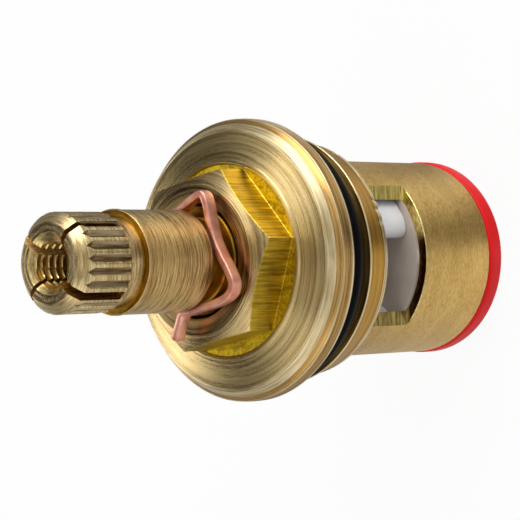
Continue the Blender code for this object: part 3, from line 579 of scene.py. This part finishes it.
def spindle_mesh():
    """A profile carried round Z in four sectors, one for each prong. Above the saw cuts' floor
    each sector's ends are held back from the cuts' middle planes, by asin(distance / radius).
    The spline lowers the radius by a V every 15 degrees, whose width shrinks to nothing at the
    end cone. The thread moves the radius in and out with height - pitch * turn, a helix, and the
    countersink is the larger of that radius and its cone's."""
    outer = spindle_profile()
    floor_z = SLOT_FLOOR + SLOT_HALF * (1 - np.cos(np.radians(np.linspace(0, 90, 8))))
    levels = np.unique(np.round(np.concatenate(([SPLINE_START, SPLINE_START + 0.05], floor_z,
                                                np.arange(floor_z[-1], TIP_TOP, THREAD_PITCH / 10),
                                                [SPLINE_END, TIP_TOP])), 4))
    tip_radius = np.interp(levels, [SPLINE_START - 0.01, SPLINE_START, SPLINE_START + 0.05,
                                    SPLINE_END, SPLINE_END + 0.05, TIP_TOP - 0.04, TIP_TOP],
                           [3.84, SPLINE_RADIUS - 0.02, SPLINE_RADIUS,
                            SPLINE_RADIUS, 3.96, 3.26, 3.19])
    below_spline = np.arange(levels[0] - THREAD_PITCH / 10, 38.0, -THREAD_PITCH / 10)
    hole_levels = np.concatenate((levels[::-1], below_spline))
    sink = np.interp(hole_levels, [TIP_TOP - 0.58, TIP_TOP - 0.05, TIP_TOP], [1.6, 2.38, 2.44])
    plain_rows = np.array([(THREAD_MINOR, 37.9), (THREAD_MINOR, 37.1), (0, 36.1)])
    starts = SLOT_TURN + 90 * np.arange(4)
    turns = (starts[:, None] + np.linspace(0, 90, SECTOR_COLUMNS)).reshape(1, -1)
    low = np.repeat(starts, SECTOR_COLUMNS)[None]

    def held(radius, height):
        share = slot_share(height)[:, None] / np.maximum(radius, 0.5)[:, None]
        first = share * np.repeat(PRONG_START, SECTOR_COLUMNS)
        last = share * np.repeat(PRONG_FINISH, SECTOR_COLUMNS)
        return np.clip(turns, low + np.degrees(np.arcsin(np.minimum(first, 1))),
                       low + 90 - np.degrees(np.arcsin(np.minimum(last, 1))))

    outer_turns = np.repeat(turns, len(outer), 0)
    outer_r = np.repeat(outer[:, :1], turns.shape[1], 1)
    collar = (outer[:, 0] > 6.0) & (outer[:, 1] < 22)
    in_notch = ((outer_turns[collar] - NOTCH_FROM) % 360) < NOTCH_TO - NOTCH_FROM
    outer_r[collar] = np.where(in_notch, NOTCH_FLOOR, outer_r[collar])
    tip_turns = held(tip_radius, levels)
    tooth = np.abs((tip_turns - SPLINE_TURN + TOOTH_TURN / 2) % TOOTH_TURN - TOOTH_TURN / 2)
    wide = np.clip((SPLINE_END + 0.2 - levels) / 0.8, 0.02, 1)[:, None] * 5.3
    groove = SPLINE_DEPTH * np.clip(1 - tooth / wide, 0, 1) * np.minimum(wide / 3.0, 1)
    tip_r = np.minimum(tip_radius[:, None], SPLINE_RADIUS - groove)
    hole_turns = held(np.maximum(sink, THREAD_MINOR + 0.1), hole_levels)
    phase = (hole_levels[:, None] / THREAD_PITCH - hole_turns / 360) % 1
    thread = THREAD_MINOR + THREAD_DEPTH * np.clip(1.3 - np.abs(phase - 0.5) * 3.6, 0, 1)
    hole_r = np.maximum(thread, sink[:, None])
    plain_r = np.repeat(plain_rows[:, :1], turns.shape[1], 1)
    radius = np.concatenate((outer_r, tip_r, hole_r, plain_r))
    used_turns = np.concatenate((outer_turns, tip_turns, hole_turns,
                                 np.repeat(turns, len(plain_rows), 0)))
    height = np.concatenate((outer[:, 1], levels, hole_levels, plain_rows[:, 1]))[:, None]
    points = polar_points(radius, used_turns, height)
    rows = len(points)
    width = turns.shape[1]
    faces = grid_faces(rows, width, False)
    column_of = np.arange(width - 1)[None] + np.zeros((rows - 1, 1), int)
    inside_sector = (column_of + 1) % SECTOR_COLUMNS != 0
    count = len(levels)
    first_tip, first_hole = len(outer), len(outer) + count
    up = first_tip + np.arange(count)
    down = first_hole + np.arange(count)[::-1]
    first_edges = np.arange(4) * SECTOR_COLUMNS
    side = np.concatenate([np.stack((up[:-1] * width + edge, up[1:] * width + edge,
                                     down[1:] * width + edge, down[:-1] * width + edge), axis=-1)
                           for edge in (*first_edges, *(first_edges + SECTOR_COLUMNS - 1))])
    row_of = np.arange(rows - 1)[:, None] + np.zeros((1, width - 1), int)
    finish = np.full_like(row_of, STEM)
    above_stem = 99.0
    outer_z = np.concatenate((outer[:, 1], np.full(rows, above_stem)))[row_of]
    finish[outer_z < 32.16] = SHOULDER
    finish[(outer_z > 39.3) & (outer_z < 39.35)] = SHOULDER
    finish[(outer_z > 39.35) & (row_of < first_hole)] = CREST
    in_gap = np.concatenate((np.zeros((first_tip, width)), groove > 0.06,
                             np.zeros((rows, width))))
    finish[(in_gap[:rows - 1, :-1] > 0) & (row_of < first_hole - 1)] = TOOTH_GAP
    finish[row_of == first_hole - 1] = TIP
    finish[row_of >= first_hole] = HOLE
    # Painted shade: faces deep in the thread's roots, and the plain rows at the hole's bottom, get
    # the darker root finish.
    in_root = (thread > THREAD_MINOR + 0.45 * THREAD_DEPTH) & (thread > sink[:, None] + 0.02)
    root_shade_mask = np.concatenate((np.zeros((first_hole, width)), in_root, np.ones((rows, width))))
    finish[root_shade_mask[:rows - 1, :-1] > 0] = ROOT_SHADE
    # Four first sides, then four last. The photo shows the second prong's first side bright.
    # The pale finish on that side is a painted highlight, and the darker one on the others painted
    # shade.
    side_finish = np.repeat([SAWN, SAWN_HIGHLIGHT] + [SAWN] * 6, count - 1)
    faces = np.concatenate((faces[inside_sector], side))
    return points, faces, np.concatenate((finish[inside_sector], side_finish))


spindle_points, spindle_faces, spindle_finish = spindle_mesh()
spindle = make_piece("spindle_and_spline", spindle_points, spindle_faces, spindle_finishes,
                     spindle_finish)

# The tang under the spindle, milled flat on two sides, that drives the upper disc.
TANG_HALF = (4.6, 1.5)
TANG_HEIGHTS = (12.45, 14.3)


def slab_mesh(half_long, half_wide, heights, turn, round_edge=0.12, columns=64):
    """An upright block with a rounded outline, |x/a|^n + |y/b|^n = 1 with n = 12, and eased
    ends."""
    around = np.linspace(0, 2 * np.pi, columns, endpoint=False)
    power = 2 / 12
    x = half_long * np.sign(np.cos(around)) * np.abs(np.cos(around)) ** power
    y = half_wide * np.sign(np.sin(around)) * np.abs(np.sin(around)) ** power
    low, high = heights
    scale = np.array([0, 1 - round_edge / half_wide, 1, 1, 1 - round_edge / half_wide, 0])[:, None]
    rows_z = np.array([low, low, low + round_edge, high - round_edge, high, high])[:, None]
    angle = math.radians(turn)
    turned_x = x * math.cos(angle) - y * math.sin(angle)
    turned_y = x * math.sin(angle) + y * math.cos(angle)
    points = np.stack(np.broadcast_arrays(scale * turned_x, scale * turned_y, rows_z), axis=-1)
    return points, grid_faces(len(scale), columns, True)


tang = make_piece("spindle_tang", *slab_mesh(*TANG_HALF, TANG_HEIGHTS, REST_TURN + 90),
                  (shoulder_brass,))
for piece in (spindle, tang):
    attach(piece, "turning_spindle")
    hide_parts("spindle")

# The two rubber rings on the spindle, hidden in its bore.
SMALL_RING_CENTRE = 3.87
SMALL_RING_SECTION = 0.72

for node, height in (("spindle_o_ring_lower", 25.5), ("spindle_o_ring_upper", 28.5)):
    small_ring = make_piece(node + "_moulded",
                            *ring_mesh(SMALL_RING_CENTRE, SMALL_RING_SECTION, height, 96, 20),
                            (rubber,))
    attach(small_ring, "turning_spindle")
    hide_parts(node)

# The retaining clip
# A springy flat wire of phosphor bronze, bent into four sides round the spindle's groove, with
# one end turned out so that pliers can pull it off.

CLIP_WIDTH = 0.66
CLIP_LOW, CLIP_HIGH = 30.82, 31.92
CLIP_PATH = ((-1.1, -6.39), (-0.58, -5.18), (-0.1, -4.32), (0.88, -4.1), (2.27, -3.78),
             (3.98, -3.44), (5.2, -2.92), (5.68, -2.05), (5.22, -0.93), (4.52, 0.15),
             (3.8, 1.54), (3.34, 3.18), (3.05, 4.57), (2.53, 5.32), (1.36, 4.91), (0.17, 4.27),
             (-1.7, 3.62), (-3.7, 2.9), (-5.1, 2.35), (-5.5, 1.55), (-4.9, 0.3), (-4.05, -1.3),
             (-3.35, -2.7))


def smooth_path(points, steps):
    """A Catmull-Rom curve through the points: on each stretch a cubic whose slope at a point is
    half the step between that point's neighbours."""
    points = np.asarray(points, float)
    ends = np.concatenate(([2 * points[0] - points[1]], points, [2 * points[-1] - points[-2]]))
    share = np.linspace(0, 1, steps, endpoint=False)[None, :, None]
    a, b, c, d = (ends[at:len(ends) - 3 + at, None] for at in range(4))
    curve = 0.5 * (2 * b + (c - a) * share + (2 * a - 5 * b + 4 * c - d) * share ** 2
                   + (3 * b - a - 3 * c + d) * share ** 3)
    return np.concatenate((curve.reshape(-1, points.shape[1]), points[-1:]))


def clip_mesh():
    """A rounded rectangle, |u|^n + |v|^n = 1 with n = 5, carried along the bent path."""
    path = smooth_path(CLIP_PATH, 10)
    along = np.gradient(path, axis=0)
    along /= np.linalg.norm(along, axis=1, keepdims=True)
    across = np.stack((-along[:, 1], along[:, 0]), axis=1)
    columns = 28
    around = np.linspace(0, 2 * np.pi, columns, endpoint=False)
    power = 2 / 5
    u = np.sign(np.cos(around)) * np.abs(np.cos(around)) ** power * CLIP_WIDTH / 2
    v = np.sign(np.sin(around)) * np.abs(np.sin(around)) ** power * (CLIP_HIGH - CLIP_LOW) / 2
    path = np.concatenate((path[:1], path, path[-1:]))
    across = np.concatenate((across[:1], across, across[-1:]))
    size = np.ones(len(path))
    size[[0, -1]] = 0
    flat = path[:, None] + across[:, None] * (u * size[:, None])[..., None]
    height = (CLIP_LOW + CLIP_HIGH) / 2 + v * size[:, None]
    points = np.concatenate((flat, height[..., None]), axis=-1)
    return points, grid_faces(len(path), columns, True)


def copper_wire():
    """Drawn phosphor bronze: pinkish copper, a little blotchy, with a soft satin shine."""
    finish, tree, shader, place = new_finish("drawn_copper_wire")
    cloudy_colour(tree, shader, place, 500.0, 3.0, (0.35, "#D48A76"), (0.65, "#FABCA4"),
                  roughness=0.6)
    speck = add_node(tree, "TexNoise", {"Vector": place, "Scale": 3500.0, "Detail": 2.0})
    bump = add_node(tree, "Bump", {"Height": speck.outputs["Fac"], "Strength": 0.25,
                                   "Distance": GRAIN_RELIEF})
    set_inputs(tree, shader, {"Metallic": 0.85, "Roughness": 0.36, "Normal": bump.outputs[0]})
    return finish


clip = make_piece("bent_retaining_clip", *clip_mesh(), (copper_wire(),))
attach(clip, "turning_spindle")
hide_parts("retaining_clip")

# The ceramic discs
# Alumina, pressed and fired, with lapped faces that seal on each other. The upper disc has two
# gaps that the spindle turns over the lower disc's two ports.

MOVING_RADIUS = 7.2
MOVING_HEIGHTS = (10.93, 13.95)
HUB_RADIUS = 2.6
GAP_OFFSET = 1.75
GAP_FLARE = 15.0
LOBE_CORNER = 1.5
FACE_EASE = 0.985
EDGE_EASE = 0.12
LOWER_RADIUS = 7.66
LOWER_RIM_FROM = 7.1
PORT_REACH = 6.5
PORT_SHARE = 0.6


def lobe_outline():
    """Half of the upper disc's outline: a gap's side is a line past the axis at an offset, so
    its direction at a radius is flare + asin(offset / radius). Its corner with the rim is
    rounded. Each point comes with one inside the hub, spread so that the lines between them
    never cross a gap."""
    def side(radius):
        return GAP_FLARE + np.degrees(np.arcsin(GAP_OFFSET / radius))

    hub_edge = side(HUB_RADIUS)
    hub = polar_points(HUB_RADIUS, np.linspace(-hub_edge, hub_edge, 14), 0)[:, :2]
    wall_r = np.linspace(HUB_RADIUS, MOVING_RADIUS - LOBE_CORNER, 8)[1:]
    wall = polar_points(wall_r, side(wall_r), 0)[:, :2]
    rim_from = side(MOVING_RADIUS) + math.degrees(LOBE_CORNER * 1.15 / MOVING_RADIUS)
    corner = bend(wall[-1], polar_points(MOVING_RADIUS, side(MOVING_RADIUS), 0)[:2],
                  polar_points(MOVING_RADIUS, rim_from, 0)[:2], 10)[1:]
    rim_turns = np.linspace(rim_from, 180 - rim_from, 60)[1:-1]
    rim = polar_points(MOVING_RADIUS, rim_turns, 0)[:, :2]
    mirrored = np.concatenate((corner[::-1], wall[::-1])) * np.array([-1, 1])
    half = np.concatenate((hub[:-1], wall[:0:-1][::-1], corner, rim, mirrored[:-1]))
    turn = np.degrees(np.arctan2(half[:, 1], half[:, 0]))
    reach = np.hypot(half[:, 0], half[:, 1])
    inner_edge = hub_edge + 3
    spread = 90 + (turn - 90) * (90 - inner_edge) / (90 - side(MOVING_RADIUS - LOBE_CORNER))
    inner_turn = np.where(reach < MOVING_RADIUS - LOBE_CORNER + 1e-6,
                          np.where(turn < 90, inner_edge, 180 - inner_edge), spread)
    inner_turn = np.where(reach < HUB_RADIUS + 1e-6, turn * inner_edge / hub_edge, inner_turn)
    return half, polar_points(HUB_RADIUS - 0.1, inner_turn, 0)[:, :2]


def moving_disc_mesh():
    """The outline carried up the disc's edge, drawn in a little at both faces, and closed in the
    middle."""
    half, half_hub = lobe_outline()
    turn = math.radians(REST_TURN)
    turned = np.array([[math.cos(turn), math.sin(turn)], [-math.sin(turn), math.cos(turn)]])
    outline = np.concatenate((half, -half)) @ turned
    hub = np.concatenate((half_hub, -half_hub)) @ turned
    middle, eased = hub * 0, outline * FACE_EASE
    low, high = MOVING_HEIGHTS
    flat = np.stack((middle, hub, eased, outline, outline, eased, hub, middle))
    rows_z = np.array([low, low, low, low + EDGE_EASE, high - EDGE_EASE, high, high, high])
    height = np.broadcast_to(rows_z[:, None, None], flat.shape[:2] + (1,))
    return np.concatenate((flat, height), axis=-1), grid_faces(len(flat), len(outline), True)


def fired_ceramic(name, pale, shade):
    """Fired alumina: white, very fine grained and slightly see-through at its edges."""
    finish, tree, shader, place = new_finish(name)
    cloudy_colour(tree, shader, place, 300.0, 3.0, (0.35, shade), (0.65, pale))
    set_inputs(tree, shader, {"Roughness": 0.3, "Subsurface Weight": 0.15,
                              "Subsurface Radius": (0.4, 0.4, 0.4), "Subsurface Scale": 0.8 * MM})
    return finish


moving_disc = make_piece("upper_ceramic_disc", *moving_disc_mesh(),
                         (fired_ceramic("white_alumina", "#DEDEE0", "#D2D3D6"),))
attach(moving_disc, "turning_spindle")
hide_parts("moving_disc")


def lower_disc_mesh():
    """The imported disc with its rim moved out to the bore, which it fills without a visible gap,
    and its two ports drawn in, by a share of the angle from their middles, to lie under the
    upper disc."""
    made = bmesh.new()
    made.from_mesh(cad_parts["fixed_disc"].data)
    bmesh.ops.remove_doubles(made, verts=made.verts, dist=1e-6)
    mesh = bpy.data.meshes.new("lower_ceramic_disc")
    made.to_mesh(mesh)
    made.free()
    place = np.empty(len(mesh.vertices) * 3)
    mesh.vertices.foreach_get("co", place)
    place = place.reshape(-1, 3)
    radius = np.hypot(place[:, 0], place[:, 1])
    at_rim = radius > LOWER_RIM_FROM * MM
    place[:, :2] *= np.where(at_rim, LOWER_RADIUS * MM / radius, 1.0)[:, None]
    turn = np.degrees(np.arctan2(place[:, 1], place[:, 0]))
    from_port = (turn - REST_TURN) % 180 - 90
    drawn_in = np.radians(turn - from_port * (1 - PORT_SHARE))
    moved = radius[:, None] * np.stack((np.cos(drawn_in), np.sin(drawn_in)), axis=1)
    place[:, :2] = np.where((radius < PORT_REACH * MM)[:, None], moved, place[:, :2])
    mesh.vertices.foreach_set("co", place.reshape(-1))
    mesh.materials.clear()
    mesh.shade_smooth()
    mesh.set_sharp_from_angle(angle=SHARP_ANGLE)
    return mesh


lower_disc = bpy.data.objects.new("lower_ceramic_disc", lower_disc_mesh())
# The lower disc's greyer, warmer colours are partly the ceramic's own grey and partly painted
# shade.
lower_disc.data.materials.append(fired_ceramic("lapped_alumina_grey_and_painted_shade", "#CABEB2", "#B6AA9E"))
bpy.context.scene.collection.objects.link(lower_disc)
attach(lower_disc, "headwork")
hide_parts("fixed_disc")

# The seal and its support ring
# Red silicone, moulded: a lip under the barrel's end and a sleeve inside it, held round by a
# plain acetal ring.

SEAL_RADIUS = 8.6
SEAL_OPENING = 4.85
SEAL_LIP_TOP = 1.82
SLEEVE_RADIUS = 7.4
SLEEVE_BORE = 5.92
SLEEVE_TOP = 7.0
SUPPORT_BORE = 4.9


def turned_solid(name, outline, finishes, columns=192):
    """A closed outline of (radius, height) points carried round Z."""
    outline = np.concatenate((outline, outline[:1]))
    turns = np.arange(columns) * 360 / columns
    points = polar_points(outline[:, :1], turns, outline[:, 1:])
    return make_piece(name, points, grid_faces(len(outline), columns, True), finishes)


def red_silicone():
    """Moulded silicone: strong red, soft and a little see-through, so that its edge glows pink."""
    finish, tree, shader, place = new_finish("moulded_red_silicone")
    cloudy_colour(tree, shader, place, 250.0, 2.0, (0.3, "#D8080E"), (0.7, "#E81018"))
    set_inputs(tree, shader, {"Roughness": 0.45, "Specular IOR Level": 0.25,
                              "Subsurface Weight": 0.15, "Subsurface Radius": (1.0, 0.25, 0.2),
                              "Subsurface Scale": 1.2 * MM})
    return finish


def moulded_plastic():
    """Acetal: milky white and smooth with a soft shine."""
    finish, tree, shader, place = new_finish("moulded_white_acetal")
    cloudy_colour(tree, shader, place, 200.0, 2.0, (0.3, "#DAD7CC"), (0.7, "#E6E4DB"))
    set_inputs(tree, shader, {"Roughness": 0.4})
    return finish


seal_outline = np.concatenate((
    [(SEAL_OPENING, 0.06)],
    bend((SEAL_OPENING, 0.06), (4.86, 0.0), (4.95, 0.0)),
    bend((7.95, 0.0), (8.58, 0.0), (SEAL_RADIUS, 0.62), 8),
    bend((SEAL_RADIUS, 1.5), (SEAL_RADIUS, 1.8), (8.3, SEAL_LIP_TOP)),
    [(SLEEVE_RADIUS, SEAL_LIP_TOP), (SLEEVE_RADIUS, SLEEVE_TOP), (SLEEVE_BORE, SLEEVE_TOP),
     (SLEEVE_BORE, 0.9), (SEAL_OPENING, 0.9)],
))
seal = turned_solid("red_seal", seal_outline, (red_silicone(),))
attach(seal, "headwork")
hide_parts("outlet_seal")

plastic = moulded_plastic()
support_outline = np.concatenate((
    bend((4.95, 1.2), (SUPPORT_BORE, 1.2), (SUPPORT_BORE, 1.3)),
    bend((SUPPORT_BORE, 6.85), (SUPPORT_BORE, SLEEVE_TOP), (5.05, SLEEVE_TOP)),
    [(5.6, SLEEVE_TOP), (5.6, 1.2)],
))
support_ring = turned_solid("seal_support", support_outline, (plastic,), 128)
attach(support_ring, "headwork")
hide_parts("seal_support_ring")

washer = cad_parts["slip_washer"]
washer.data.materials.clear()
washer.data.materials.append(plastic)

# The studio
# A white floor, a white world, broad soft lamps and the photograph's camera: a long lens that
# looks down on the cartridge with the spindle pointing left in the picture.

CAMERA_PLACE = (138.014, -4.096, 168.288)
CAMERA_RIGHT = (0.72547, -0.03842, -0.68718)
CAMERA_UP = (0.04187, 0.99906, -0.01164)
CAMERA_LENS = 165.04
MIDDLE_HEIGHT = 20

camera_data = bpy.data.cameras.new("photograph_camera")
camera_data.lens = CAMERA_LENS
camera_data.sensor_width = 36
camera_data.clip_start = 10 * MM
camera = bpy.data.objects.new("photograph_camera", camera_data)
right, up = Vector(CAMERA_RIGHT).normalized(), Vector(CAMERA_UP).normalized()
turned = Matrix((right, up, right.cross(up))).transposed()
camera.matrix_world = Matrix.Translation(Vector(CAMERA_PLACE) * MM) @ turned.to_4x4()
bpy.context.scene.collection.objects.link(camera)
bpy.context.scene.camera = camera


def soft_lamp(name, place, size, watts):
    """A square soft box at a place, in millimetres, that faces the middle of the cartridge."""
    lamp = bpy.data.lights.new(name, "AREA")
    lamp.size = size * MM
    lamp.energy = watts
    made = bpy.data.objects.new(name, lamp)
    made.location = Vector(place) * MM
    aim = Vector((0, 0, MIDDLE_HEIGHT)) * MM - made.location
    made.rotation_euler = aim.to_track_quat("-Z", "Y").to_euler()
    bpy.context.scene.collection.objects.link(made)


soft_lamp("soft_box_left", (-395, -40, 180), 240, 0.46)
soft_lamp("soft_box_low", (-68, -234, 398), 220, 0.11)
soft_lamp("soft_box_above", (-135, 135, 405), 150, 0.15)
soft_lamp("soft_box_right", (90, 400, 215), 360, 1.50)
soft_lamp("soft_box_front", (120, -430, 260), 420, 0.40)
soft_lamp("soft_box_by_the_camera", (200, 50, 235), 250, 0.09)


def white_world():
    """White where the camera looks past the floor. Metal sees a white board on the -Y side, which
    stops at Y = 0 in a direction's unit vector and turns grey above Z = 0.35, then the dim room,
    and a pale ceiling past Y = 0.5. The far side, below X = -0.35, is dimmer."""
    world = bpy.data.worlds.new("studio_world")
    bpy.context.scene.world = world
    world.use_nodes = True
    tree = world.node_tree
    tree.nodes.clear()
    rays = add_node(tree, "LightPath").outputs
    way = add_node(tree, "TexCoord").outputs["Generated"]
    parts = add_node(tree, "SeparateXYZ", {"Vector": way}).outputs
    side = add_node(tree, "MapRange", {"Value": parts["Y"], "From Min": -1.0}).outputs[0]
    lower = add_node(tree, "ValToRGB", {"Fac": side}, (
        (0.0, "#B4B4B4"), (0.35, "#ECECEC"), (0.45, "#F8F8F8"), (0.49, "#8C8C8C"),
        (0.65, "#8C8C8C"), (0.78, "#E6E6E6"))).outputs[0]
    upper = add_node(tree, "ValToRGB", {"Fac": side}, (
        (0.0, "#A0A0A0"), (0.3, "#B8B8B8"), (0.45, "#B4B4B4"), (0.5, "#8C8C8C"),
        (0.65, "#8C8C8C"), (0.78, "#E6E6E6"))).outputs[0]
    raised = add_node(tree, "MapRange", {"Value": parts["Z"], "From Min": 0.2,
                                         "From Max": 0.5}).outputs[0]
    walls = add_node(tree, "Mix", {"Factor": raised, 6: lower, 7: upper},
                     data_type="RGBA").outputs[2]
    far = add_node(tree, "MapRange", {"Value": parts["X"], "From Min": -1.0,
                                      "From Max": 0.0}).outputs[0]
    far_shade = add_node(tree, "ValToRGB", {"Fac": far}, ((0.33, "#808080"), (0.65, "#FFFFFF")))
    room = add_node(tree, "Mix", {"Factor": 1.0, 6: walls, 7: far_shade.outputs[0]},
                    data_type="RGBA", blend_type="MULTIPLY").outputs[2]
    lit = add_node(tree, "Background", {"Color": (1, 1, 1, 1), "Strength": 0.38})
    reflected = add_node(tree, "Background", {"Color": room, "Strength": 1.0})
    seen = add_node(tree, "Background", {"Color": (1, 1, 1, 1), "Strength": 1.0})
    indirect = add_node(tree, "MixShader", {0: rays["Is Glossy Ray"], 1: lit.outputs[0],
                                            2: reflected.outputs[0]})
    direct = add_node(tree, "Math", {0: rays["Is Camera Ray"], 1: rays["Is Transmission Ray"]},
                      operation="MAXIMUM")
    mix = add_node(tree, "MixShader", {0: direct.outputs[0], 1: indirect.outputs[0],
                                       2: seen.outputs[0]})
    add_node(tree, "OutputWorld", {"Surface": mix.outputs[0]})


def white_floor():
    """Matt white board that the camera sees nearly white, with the cartridge's faint shadow.
    Metal sees it by its direction from the axis: white on the -Y side and towards +X, dim from
    12 to 27 degrees past +X, lit again from 50 to 65 degrees, and dim beyond. A ring of it, 24 to
    35 mm from the axis, which only the collar, rim and hexagon mirror, is dark round +X and white
    from 40 to 120 degrees."""
    finish, tree, shader, place = new_finish("matt_white_board")
    cloudy_colour(tree, shader, place, 60.0, 2.0, (0.3, "#F1F1F1"), (0.7, "#F3F3F3"))
    set_inputs(tree, shader, {"Roughness": 0.9, "Specular IOR Level": 0.0})
    radius, _, turn = cylinder_coordinates(tree, place)
    side = add_node(tree, "MapRange", {"Value": turn, "From Min": -math.pi,
                                       "From Max": math.pi}).outputs[0]
    board = add_node(tree, "ValToRGB", {"Fac": side}, (
        (0.0, "#A0A0A0"), (0.17, "#C8C8C8"), (0.33, "#E6E6E6"), (0.45, "#FBFBFB"),
        (0.508, "#F8F8F8"), (0.532, "#989898"), (0.575, "#929292"), (0.64, "#E2E2E2"),
        (0.68, "#DCDCDC"), (0.74, "#949494"), (1.0, "#8C8C8C"))).outputs[0]
    ring = add_node(tree, "ValToRGB", {"Fac": side}, (
        (0.12, "#606060"), (0.2, "#8C8C8C"), (0.36, "#B0B0B0"), (0.41, "#909090"),
        (0.5, "#484848"), (0.55, "#505050"), (0.585, "#E0E0E0"), (0.61, "#FFFFFF"),
        (0.83, "#FFFFFF"), (0.9, "#A8A8A8"))).outputs[0]
    share = add_node(tree, "MapRange", {"Value": radius, "From Max": 50 * MM}).outputs[0]
    in_ring = add_node(tree, "ValToRGB", {"Fac": share}, (
        (0.45, "#000000"), (0.475, "#FFFFFF"), (0.705, "#FFFFFF"), (0.722, "#000000"))).outputs[0]
    mirrored = add_node(tree, "Mix", {"Factor": in_ring, 6: board, 7: ring},
                        data_type="RGBA").outputs[2]
    reflected = add_node(tree, "Emission", {"Color": mirrored, "Strength": 1.0})
    seen = add_node(tree, "Emission", {"Color": (1, 1, 1, 1), "Strength": 1.0})
    rays = add_node(tree, "LightPath").outputs
    direct = add_node(tree, "Math", {0: rays["Is Camera Ray"], 1: 0.93}, operation="MULTIPLY")
    mix = add_node(tree, "MixShader", {0: direct.outputs[0], 1: shader.outputs[0],
                                       2: seen.outputs[0]})
    both = add_node(tree, "MixShader", {0: rays["Is Glossy Ray"], 1: mix.outputs[0],
                                        2: reflected.outputs[0]})
    tree.links.new(both.outputs[0], tree.nodes["Material Output"].inputs["Surface"])
    return finish


white_world()
FLOOR_REACH = 4000
corners = [(-1, -1), (1, -1), (1, 1), (-1, 1)]
floor_mesh = bpy.data.meshes.new("studio_floor")
floor_mesh.from_pydata([(x * FLOOR_REACH * MM, y * FLOOR_REACH * MM, 0) for x, y in corners], [],
                       [(0, 1, 2, 3)])
floor_mesh.materials.append(white_floor())
floor = bpy.data.objects.new("studio_floor", floor_mesh)
bpy.context.scene.collection.objects.link(floor)

bpy.context.scene.view_settings.view_transform = "Standard"
